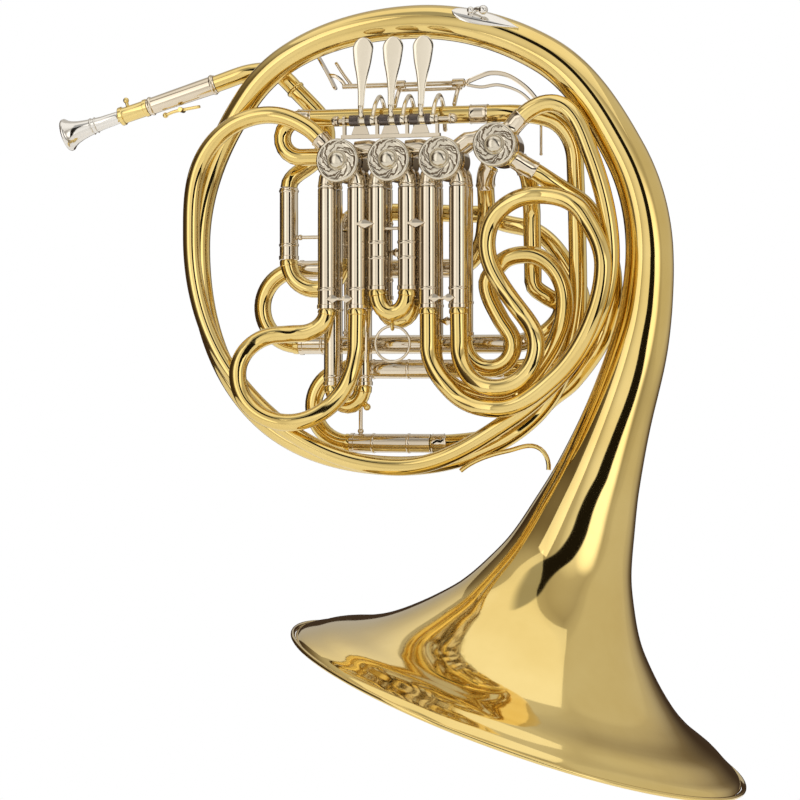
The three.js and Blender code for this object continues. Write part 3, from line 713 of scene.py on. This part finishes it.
EYE = (0, FRONT_Y, -107.3)
PAIR_GAP_X, PAIR_FLANGE_Z = 17, -41
slides = [
    dict(
        name="f_slide_1", valve=VALVES[0], y=FRONT_Y, mouths=(-96, -96), rings=(13,), brace=6.5,
        bow=[
            [-62, -112, 180, -17],
            [-76, -112.7, 182, -20],
            [-101.5, -138.3, 270, -27],
            [-66.5, -170.2, 0, CROOK_Y],
            [-29.5, -145.4, 62, -20],
            [-24.3, -119.5, 90, FRONT_Y],
        ],
    ),
    dict(
        name="f_slide_2", valve=VALVES[1], y=FRONT_Y, mouths=(-84, -84), rings=(21, 31), brace=40,
        bow=[[0, -99, 0, FRONT_Y]],
    ),
    dict(
        name="f_slide_3", valve=VALVES[2], y=FRONT_Y, mouths=(-96, -96), rings=(13,), brace=6.5,
        bow=[
            [24.1, -120, 270, FRONT_Y],
            [41, -150, 315, -21],
            [72.5, -161, 0, CROOK_Y],
            [108.5, -141.3, 42, CROOK_Y],
            [134.5, -100.6, 70, CROOK_Y],
            [140.5, -70, 90, CROOK_Y],
            [127.5, -38, 122, -24],
            [95.5, -24.3, 180, -18],
            [69.3, -35.5, 228, FRONT_Y],
            [62.6, -55, 270, FRONT_Y],
            [72, -81.2, 303, FRONT_Y],
            [84.5, -97.6, 308, -18],
            [97, -120.2, 270, -25],
            [71.2, -147.7, 180, CROOK_Y],
            [44.3, -119.9, 90, FRONT_Y],
        ],
    ),
    dict(
        name="b_slide_1", valve=VALVES[0], y=REAR_Y, mouths=(-146, -146), rings=(6, 50), brace=3.5,
        bow=[[-34, -158.7, 0, REAR_Y]],
    ),
    dict(
        name="b_slide_2", valve=VALVES[1], y=REAR_Y, mouths=(-90, -90), rings=(13, 50), brace=31,
        bow=[[0, -103, 0, REAR_Y]],
    ),
    dict(
        name="b_slide_3", valve=VALVES[2], y=REAR_Y, mouths=(-116, -114), rings=(22,), brace=10,
        bow=[
            [24, -124, 270, REAR_Y],
            [66.2, -154.1, 0, REAR_Y],
            [98.5, -128.3, 57, REAR_Y],
            [110.9, -92.9, 90, REAR_Y],
            [106.4, -74.7, 120, REAR_Y],
            [85.8, -61.3, 180, REAR_Y],
            [68.2, -67.2, 230, REAR_Y],
            [59.5, -80.7, 275, REAR_Y],
            [68.2, -102.2, 298, REAR_Y],
            [77, -119.4, 270, REAR_Y],
            [61.3, -135.1, 180, REAR_Y],
        ],
    ),
]
for item in slides:
    name, (vx, _), y = item["name"], item["valve"], item["y"]
    xs = (vx - LEG_OFFSET, vx + LEG_OFFSET)
    mouths = item["mouths"]
    shapes = [
        sleeve(straight((x, y, SLEEVE_TOP), (x, y, mouth)), BORE_DEPTH, item["rings"])
        for x, mouth in zip(xs, mouths)
    ]
    brace_z = max(mouths) + item["brace"]
    flange_y = y - SLEEVE_R - 0.5
    if name in ("f_slide_1", "f_slide_3"):
        shapes += [diamond(vx + side * 4.6, brace_z, flange_y, 4.4, 2.7, 1.2) for side in (-1, 1)]
    elif name == "f_slide_2":
        gaps = (vx - PAIR_GAP_X, vx + PAIR_GAP_X)
        shapes += [diamond(x, PAIR_FLANGE_Z, flange_y, 6.2, 2.8, 1.2) for x in gaps]
    else:
        shapes.append(diamond(vx, brace_z, y - 4.2, 5.6, 3.0, 1.3))
    shapes.append(rod((xs[0] + 5.8, y - 2, brace_z), (xs[1] - 5.8, y - 2, brace_z), 1.1))
    make(f"{name}_outer_pair", *joined(*shapes), f"{name}_sleeves", sharp=30)

    way = route(
        [
            [xs[0], mouths[0] + SLIDE_DEPTH, 270, y],
            [xs[0], mouths[0] - 1, 270, y],
            *item["bow"],
            [xs[1], mouths[1] - 1, 90, y],
            [xs[1], mouths[1] + SLIDE_DEPTH, 90, y],
        ]
    )
    extra = []
    if name == "f_slide_2":
        extra = [loop(EYE, 2.5, 0.8, (1, 0, 0))]
    if name == "b_slide_1":
        extra = [rod((-24.6, y, -153), (-21, y, -159), 1.2), ball((-21, y, -160), 2.4)]
    if name == "f_slide_3":
        extra = [diamond(83, -154.6, -21.5, 3.2, 5.2, 1.4)]
    make(f"{name}_crook", *slide(way, SLIDE_DEPTH, extra), name)


RING_R = 11.5
make("slide_pull_ring", *loop((EYE[0], EYE[1], EYE[2] - RING_R), RING_R, 0.9, (0, 1, 0)), "pull_ring")

# ---- Tuning slides and the tubes behind the valves ----

TUNING_LEFT, TUNING_RIGHT, TUNING_MOUTH, TUNING_DEPTH = -78.6, -41.2, -62, 14
tuning_parts = [
    sleeve(straight((x, BACK_Y, top), (x, BACK_Y, TUNING_MOUTH)), TUNING_DEPTH + 1, rings)
    for x, top, rings in ((TUNING_LEFT, -13.9, (10, 46)), (TUNING_RIGHT, -44, (10,)))
]
tuning_parts.append(rod((TUNING_LEFT + 5.8, BACK_Y, -47), (TUNING_RIGHT - 5.8, BACK_Y, -47), 1.2))
tuning_parts += [ball((x, BACK_Y, -47), 1.9) for x in (TUNING_LEFT + 8, TUNING_RIGHT - 8)]
make("main_tuning_outer_pair", *joined(*tuning_parts), "main_tuning_sleeves", sharp=30)
tuning_way = route(
    [
        [TUNING_LEFT, TUNING_MOUTH + TUNING_DEPTH, 270, BACK_Y],
        [TUNING_LEFT, TUNING_MOUTH - 1, 270, BACK_Y],
        [(TUNING_LEFT + TUNING_RIGHT) / 2, TUNING_MOUTH - 19.7, 0, BACK_Y],
        [TUNING_RIGHT, TUNING_MOUTH - 1, 90, BACK_Y],
        [TUNING_RIGHT, TUNING_MOUTH + TUNING_DEPTH, 90, BACK_Y],
    ]
)
make("main_tuning_bow", *slide(tuning_way, TUNING_DEPTH), "main_tuning_slide")

for name, y, top, bottom, mouth, ends, brace_back in (
    ("f_tuning_slide", BACK_Y, -135, -184, -36, (52, 19), 7),
    ("b_tuning_slide", DEEP_Y, -68, -118.4, -75, (30, 66), 32),
):
    shapes = [
        sleeve(straight((end, y, z), (mouth, y, z)), BORE_DEPTH, (16, 40))
        for end, z in zip(ends, (top, bottom))
    ]
    brace_x = mouth + brace_back
    shapes.append(rod((brace_x, y, top - 5.9), (brace_x, y, bottom + 5.9), 1.3))
    shapes += [ball((brace_x, y, z), 2.0) for z in (top - 8, bottom + 8)]
    make(f"{name}_outer_pair", *joined(*shapes), f"{name}_sleeves", sharp=30)
    bow_r = (top - bottom) / 2
    way = route(
        [
            [mouth + SLIDE_DEPTH, top, 180, y],
            [mouth - 1, top, 180, y],
            [mouth - 1 - bow_r, top - bow_r, 270, y],
            [mouth - 1, bottom, 0, y],
            [mouth + SLIDE_DEPTH, bottom, 0, y],
        ]
    )
    make(f"{name}_bow", *slide(way, SLIDE_DEPTH), name)

back_tubes = {
    "crossover_tube": [
        [TUNING_RIGHT, -44 + GAP, 90, BACK_Y],
        [-25, -30, 0, 24],
        [0, -30, 0, 33],
        [45, -32, 0, 35],
        [62.6, -37.8, 340, 35],
        [84.8, -44, 332, 33],
        [106, -66, 300, 31],
        [117, -95, 268, 30],
        [100, -126, 215, 26],
        [70, -135, 180, 16],
        [52 + GAP, -135, 180, BACK_Y],
    ],
    "upper_return_tube": [
        [30 + GAP, -68, 0, DEEP_Y],
        [52, -50, 75, 22],
        [56, -30, 85, BACK_Y],
        [62, -2.6, 52, REAR_Y],
    ],
    "lower_return_tube": [
        [80.3, -0.3, 322, REAR_Y],
        [87, -19, 272, 6],
        [86.5, -34.7, 270, BACK_Y],
        [87.2, -78.4, 270, BACK_Y],
        [96.4, -88.2, 325, 18],
        [104, -95, 270, 27],
        [98, -107, 225, 27],
        [66 + GAP, -118.4, 180, DEEP_Y],
    ],
    "outer_return_tube": [
        [19 + GAP, -184, 0, BACK_Y],
        [45, -182.3, 8, 20],
        [72, -173.7, 35, 26],
        [94, -157, 45, 29],
        [111.7, -142.4, 50, 29],
        [133.1, -113.5, 68, 18],
        [141.6, -81.6, 90, 6],
        [135.7, -50.7, 112, 0],
        [119.4, -26, 147, 0],
        [98, -11.5, 145, -9],
        [80.3, -0.3, 142, FRONT_Y],
    ],
}
for name, waypoints in back_tubes.items():
    way = route(waypoints)
    make(f"{name}_run", *tube(way, TUBE_R), name)
    last = way.length
    add_ferrules(f"{name}_ferrules", name, way, [(0.5, 9), (last - 16, last - 1)])

# ---- Finger levers ----

rack = [plate([(-33, 14.4), (33, 14.4), (33, 16.8), (-33, 16.8)], -21.5, -17.5)]
for x in UPRIGHT_X:
    rack.append(plate([(x - 1.0, 16), (x + 1.0, 16), (x + 1.0, 24.5), (x - 1.0, 24.5)], -21.4, -17.6, 0.2))
    collar = [(0, 1.8), (0, 2.9), (0.3, 3.2), (1.7, 3.2), (2, 2.9), (2, 1.8), (0, 1.8)]
    rack.append(turned(straight((x - 1, ROD_Y, ROD_Z), (x + 1, ROD_Y, ROD_Z)), collar, 32, spacing=60))
for x in LEVER_X:
    rack.append(plate([(x - 7, 16.9), (x + 5, 16.9), (x + 3, 22.4), (x - 5, 22.4)], -21.2, -20.2, 0.2))
make("lever_carrier", *joined(*rack), "lever_rack", sharp=30)

axle = [rod((-35, ROD_Y, ROD_Z), (39, ROD_Y, ROD_Z), 1.5)]
acorn = [(0, 0), (0, 2.2), (0.7, 3.3), (1.5, 3.5), (2.1, 2.9), (2.5, 3.3), (4.0, 3.0), (5.3, 1.9), (6.0, 0)]
for x, side in ((-34.5, -1), (38.5, 1)):
    axle.append(turned(straight((x, ROD_Y, ROD_Z), (x + side * 6, ROD_Y, ROD_Z)), acorn, 32, spacing=60))
make("lever_axle", *joined(*axle), "lever_rod")


def helix(x0, x1, r, wire_r, turns):
    """A spring coil round the levers' rod."""
    steps_a_turn = 18
    steps = turns * steps_a_turn
    points = []
    for k in range(steps + 1):
        angle = 2 * math.pi * k / steps_a_turn
        along_rod = x0 + (x1 - x0) * k / steps
        points.append(Vector((along_rod, ROD_Y + r * math.cos(angle), ROD_Z + r * math.sin(angle))))
    wire = Way(points)
    return turned(wire, [(0, 0), (0, wire_r), (wire.length, wire_r), (wire.length, 0)], 8, 1.0)


BLADE_HALF = 6.9
LEAN = 1.8


def half_width(t):
    """A spatula's half width from its neck, at 0, to its tip, at 1."""
    widest = 0.84
    if t > widest:
        return BLADE_HALF * math.sqrt(max(0, 1 - ((t - widest) / (1 - widest)) ** 2))
    return curve_through([(0, 2.0), (0.18, 2.3), (0.42, 3.7), (0.66, 5.9), (widest, BLADE_HALF)], t)


def spatula(x):
    """A teardrop touch piece, crowned across, rounded at its tip and leaning a little to one side."""
    rows, columns = 44, 12
    verts, faces = [], []
    for back in (0, 1):
        for i in range(rows + 1):
            t = 1 - (1 - i / rows) ** 1.25
            w = half_width(t)
            for j in range(columns + 1):
                u = -1 + 2 * j / columns
                crown = 0.12 * (1 - u * u)
                edge = 0.45 * (1 - u**10)
                y = -24 - crown + (0.5 - edge if not back else edge + 0.4)
                verts.append(Vector((x + LEAN * t + u * w, y, ROD_Z + 8 + 45.5 * t)))
    n = (rows + 1) * (columns + 1)
    for i in range(rows):
        for j in range(columns):
            a = i * (columns + 1) + j
            quad = [a, a + 1, a + columns + 2, a + columns + 1]
            faces.append(quad)
            faces.append([q + n for q in reversed(quad)])
    for i in range(rows):
        for j, flip in ((0, False), (columns, True)):
            a = i * (columns + 1) + j
            quad = [a, a + columns + 1, a + columns + 1 + n, a + n]
            faces.append(quad[::-1] if flip else quad)
    for j in range(columns):
        faces.append([j, j + n, j + 1 + n, j + 1])
    return verts, faces


for i, x in enumerate(LEVER_X):
    side = x + ARM_OFFSET
    hub_end = ARM_OFFSET + 4.5
    hub = [
        (0, 1.8), (0, 2.7), (0.3, 3), (1.2, 3), (1.5, 2.5), (hub_end - 3, 2.5), (hub_end - 2.7, 3),
        (hub_end - 0.3, 3), (hub_end, 2.7), (hub_end, 1.8), (0, 1.8),
    ]
    shapes = [
        spatula(x),
        bar([(x, -24, ROD_Z + 9.5), (x, -23.5, ROD_Z + 5), (x, -21.6, ROD_Z + 2)], 1.6, end_r=1.9),
        turned(straight((x - 3, ROD_Y, ROD_Z), (side + 1.5, ROD_Y, ROD_Z)), hub, 36, spacing=60),
        bar(
            [
                (side, ROD_Y, ROD_Z + 2.4),
                (side, -12, 38),
                (side, 0, 43.5),
                (side, 11, 37),
                (side, 16, 22),
            ],
            1.4,
        ),
        ball((side, 16, 22.6), 1.5),
    ]
    make(f"finger_lever_{i + 1}_arm", *joined(*shapes), f"finger_lever_{i + 1}", material=SATIN, sharp=50)
    coils = [helix(x - 8.3, x - 2.2, 3.3, 0.42, 8), helix(x + 2.0, x + 5.6, 3.3, 0.42, 4)]
    make(f"finger_lever_{i + 1}_springs", *joined(*coils), f"finger_lever_{i + 1}", material=SPRING)

# ---- Thumb lever and the small fittings ----

SHAFT_END = 42
POSTS = (-3, 37)


def ribbon(points, width, thick, flat):
    """A flat strip along a smooth line, its width lying along the direction flat."""
    way = smooth(points)
    count = 60
    verts, faces = [], []
    for k in range(count + 1):
        s = way.length * k / count
        centre, tangent = way.at(s), way.tangent(s)
        across = (Vector(flat) - tangent * tangent.dot(Vector(flat))).normalized()
        out = across.cross(tangent)
        ease = min(1, (k + 1) / 4, (count + 1 - k) / 4) ** 0.5
        half, deep = width / 2 * ease, thick / 2
        section = [(-1, -0.5), (-0.85, -1), (0.85, -1), (1, -0.5), (1, 0.5), (0.85, 1), (-0.85, 1), (-1, 0.5)]
        verts += [centre + across * (a * half) + out * (b * deep) for a, b in section]
    for k in range(count):
        for j in range(8):
            m = (j + 1) % 8
            faces.append([k * 8 + j, k * 8 + m, k * 8 + 8 + m, k * 8 + 8 + j])
    faces.append(list(range(8))[::-1])
    faces.append([count * 8 + j for j in range(8)])
    return verts, faces


upper_strip = [
    (SHAFT_END - 0.6, THUMB_Y, THUMB_Z), (50, 16, 56.5), (59, 16, 59), (70, 16, 57), (82, 16, 49),
    (90, 16.5, 39), (92, 17, 30),
]
lower_strip = [
    (SHAFT_END - 0.6, THUMB_Y, THUMB_Z - 1), (52, 16, 50), (64, 16, 51), (78, 16, 46), (88, 16.5, 37),
]
thumb = [
    rod((-42, THUMB_Y, THUMB_Z), (SHAFT_END, THUMB_Y, THUMB_Z), 1.7),
    ribbon([(-40, THUMB_Y, THUMB_Z), (-43, 17, 57), (-47, 17, 60), (-52, 18, 61)], 3.0, 2.4, (0, 1, 0)),
    ribbon([(-60, 18, 75), (-56, 18, 68), (-51.5, 18, 60), (-47.2, 18, 51.5)], 7.5, 1.7, (0, 1, 0)),
    bar([(-47, 17, 69.3), (-41.6, 17, 61), (-36, 16, 54)], 1.1),
    ribbon(upper_strip, 2.6, 2.8, (0, 1, 0)),
    ribbon(lower_strip, 2.2, 1.9, (0, 1, 0)),
    bar([(92, 17, 31), (92, 17, 18), (92, 17, 5)], 0.9),
    ball((92, 17, 5.2), 1.1),
]
make("thumb_lever_shaft", *joined(*thumb), "thumb_lever")

bracket = []
for x in POSTS:
    bracket.append(bar([(x, 3, 37.2), (x, 9, 44), (x, THUMB_Y, THUMB_Z - 2.6)], 1.4))
    collar = [(0, 1.8), (0, 2.7), (0.3, 3), (7.7, 3), (8, 2.7), (8, 1.8), (0, 1.8)]
    barrel = straight((x - 4, THUMB_Y, THUMB_Z), (x + 4, THUMB_Y, THUMB_Z))
    bracket.append(turned(barrel, collar, 32, spacing=60))
    bracket.append(rod((x, THUMB_Y + 2, THUMB_Z - 2.2), (x, THUMB_Y + 4.9, THUMB_Z - 3), 1.5))
bracket.append(rod((POSTS[0], THUMB_Y + 4.4, THUMB_Z - 3), (POSTS[1], THUMB_Y + 4.4, THUMB_Z - 3), 1.2))
make("thumb_lever_posts", *joined(*bracket), "thumb_lever_bracket")

HOOK_ANGLE = math.radians(35)


def on_branch(s, angle, off):
    """A point off the branch's surface, at an angle up from the side the caps face."""
    tangent = bell_way.tangent(s)
    outward = Vector((tangent.z, 0, -tangent.x))
    reach = curve_through(branch_knots, s) + off
    offset = outward * (reach * math.sin(angle)) - Vector((0, 1, 0)) * (reach * math.cos(angle))
    return bell_way.at(s) + offset


def leaf_flange():
    """A leaf of silver sheet bent over the branch, pointed at its far end."""
    rows, columns = 36, 14
    verts, faces = [], []
    for off in (1.5, 0.1):
        for i in range(rows + 1):
            t = i / rows
            spread = 0.52 * math.sin(math.pi * min(1, t * 1.02) ** 0.62) ** 0.8 if 0 < t < 1 else 0.02
            for j in range(columns + 1):
                u = -1 + 2 * j / columns
                verts.append(on_branch(522 - 44 * t, HOOK_ANGLE + spread * u, off - 0.7 * (off > 1) * u**6))
    n = (rows + 1) * (columns + 1)
    for i in range(rows):
        for j in range(columns):
            a = i * (columns + 1) + j
            quad = [a, a + columns + 1, a + columns + 2, a + 1]
            faces += [quad, [q + n for q in reversed(quad)]]
        for j in (0, columns):
            a = i * (columns + 1) + j
            quad = [a, a + columns + 1, a + columns + 1 + n, a + n]
            faces.append(quad[::-1] if j == 0 else quad)
    return verts, faces


root = on_branch(510, HOOK_ANGLE, 1.6)
hook = bar([root, root + Vector((5, -2, 2)), root + Vector((9, -4, 1))], 1.7)
knob = ball(root + Vector((9.5, -4.3, 1)), 3.1)
small_knob = ball(root + Vector((0.5, -1.5, 1.5)), 2.4)
make("little_finger_hook", *joined(leaf_flange(), hook, knob, small_knob), "finger_hook", sharp=60)

strap_way = route([[42, -201.5, 40, 0], [73, -188.5, 12, 0], [93, -186, 335, 0], [100.2, -200.5, 265, 0]])
make("bell_brace_wire", *tube(strap_way, 1.5, 20), "bell_brace")

key = [
    bar([lead_point(47, 9.2), lead_point(40, 8.6), lead_point(34, 9.2), lead_point(21, 11)], 1.1),
    rod(lead_point(34, 9.2, -4), lead_point(34, 9.2, 4), 1.7),
    ball(lead_point(46, 9.0), 1.9),
]
make("water_key_lever", *joined(*key), "water_key")

# ---- Floor, light and camera ----


def surface(name, color, rough, glow):
    """A matt painted surface with a faint mottle."""
    material = bpy.data.materials.new(name)
    material.use_nodes = True
    n = Nodes(material.node_tree)
    place = n.add("ShaderNodeTexCoord").outputs["Object"]
    shader = n.add("ShaderNodeBsdfPrincipled")
    lighter = tuple(min(1, c * 1.02) for c in color)
    n.link(n.ramp(n.noise(place, 3), [(0.3, color), (0.7, lighter)]), shader.inputs["Base Color"])
    shader.inputs["Roughness"].default_value = rough
    shader.inputs["Emission Color"].default_value = (1, 1, 1, 1)
    shader.inputs["Emission Strength"].default_value = glow
    out = n.add("ShaderNodeOutputMaterial")
    n.link(shader.outputs[0], out.inputs[0])
    return material


TARGET = Vector((1.3, 0, -155.4)) * MM
AZIMUTH = math.radians(14)
DISTANCE = 1.7
toward_camera = Vector((math.sin(AZIMUTH), -math.cos(AZIMUTH), 0))
camera_right = Vector((math.cos(AZIMUTH), math.sin(AZIMUTH), 0))

camera_data = bpy.data.cameras.new("camera")
camera_data.lens = 116.8
camera_data.sensor_width = 36
camera = bpy.data.objects.new("camera", camera_data)
camera.location = TARGET + toward_camera * DISTANCE
camera.rotation_euler = (math.pi / 2, 0, AZIMUTH)
bpy.context.collection.objects.link(camera)
bpy.context.scene.camera = camera

FLOOR_Z = -0.95
floor_mesh = bpy.data.meshes.new("floor")
verts, faces = turned(
    straight((0, 0, FLOOR_Z / MM - 10), (0, 0, FLOOR_Z / MM)),
    [(10, 2600), (10, 0)],
    64,
    spacing=5000,
)
floor_mesh.from_pydata([tuple(v * MM for v in p) for p in verts], [], faces)
floor_mesh.materials.append(surface("pale_floor", (0.93, 0.93, 0.925), 0.6, 0.35))
floor = bpy.data.objects.new("floor", floor_mesh)
bpy.context.collection.objects.link(floor)


def soft_light(name, direction, distance, width, height, power):
    data = bpy.data.lights.new(name, "AREA")
    data.shape = "RECTANGLE"
    data.size, data.size_y = width, height
    data.energy = power
    light = bpy.data.objects.new(name, data)
    light.location = TARGET + direction.normalized() * distance
    light.rotation_euler = direction.to_track_quat("Z", "Y").to_euler()
    bpy.context.collection.objects.link(light)


up = Vector((0, 0, 1))
left_front = toward_camera * 0.75 - camera_right * 0.8 + up * 0.25
soft_light("left_softbox", left_front, 1.6, 0.7, 1.6, 3)
soft_light("top_softbox", up * 1.0 + toward_camera * 0.25, 1.5, 2.4, 1.6, 5)
soft_light("back_softbox", up * 0.5 - toward_camera, 1.8, 1.6, 1.2, 2.5)

# The studio round the horn, as its reflections see it: brightest close by the camera, lit from
# above and from the right, with one dark slanting panel by the camera, and warm and dim behind.
# The camera itself sees a white room.
world = bpy.data.worlds.new("studio")
bpy.context.scene.world = world
world.use_nodes = True
w = Nodes(world.node_tree)
direction = w.add("ShaderNodeTexCoord").outputs["Generated"]


def along(axis):
    node = w.add("ShaderNodeVectorMath", operation="DOT_PRODUCT")
    w.link(direction, node.inputs[0])
    node.inputs[1].default_value = axis
    return node.outputs["Value"]


def step(value, start, end):
    node = w.add("ShaderNodeMapRange", interpolation_type="SMOOTHSTEP")
    w.link(value, node.inputs["Value"])
    node.inputs["From Min"].default_value = start
    node.inputs["From Max"].default_value = end
    return node.outputs["Result"]


def laid_over(under, color, amount):
    node = w.add("ShaderNodeMix", data_type="RGBA")
    w.link(amount, node.inputs[0])
    w.link(under, node.inputs[6])
    node.inputs[7].default_value = (*color, 1)
    return node.outputs[2]


overhead = step(along(up), 0.3, 0.85)
below = step(along(up), -0.3, -0.75)
side = step(along((camera_right * 0.93 + up * 0.37).normalized()), 0.3, 0.85)
front = step(along(toward_camera), 0.0, 1.0)
front = w.math("MAXIMUM", front, w.math("MULTIPLY", overhead, 0.9))
front = w.math("MAXIMUM", front, w.math("MULTIPLY", w.math("MAXIMUM", side, below), 0.9))
across = along((camera_right * 0.8 + up * 0.6).normalized())
panel = w.math("MULTIPLY", step(across, 0.04, 0.07), step(across, 0.36, 0.33))
panel = w.math("MULTIPLY", panel, step(along(toward_camera), 0.2, 0.4))
room = w.ramp(
    front,
    [
        (0.0, (0.05, 0.032, 0.02)),
        (0.4, (0.20, 0.165, 0.12)),
        (0.88, (0.56, 0.53, 0.48)),
        (1.0, (1.0, 0.98, 0.95)),
    ],
)
beside_camera = step(along((toward_camera * 0.9 + camera_right * 0.44).normalized()), 0.9, 0.985)
lit = laid_over(room, (1.6, 1.55, 1.48), beside_camera)
shaded = laid_over(lit, (0.012, 0.010, 0.008), panel)
seen = laid_over(shaded, (1, 1, 1), w.add("ShaderNodeLightPath").outputs["Is Camera Ray"])
background = w.add("ShaderNodeBackground")
w.link(seen, background.inputs["Color"])
output = w.add("ShaderNodeOutputWorld")
w.link(background.outputs[0], output.inputs[0])
bpy.context.scene.view_settings.view_transform = "Standard"
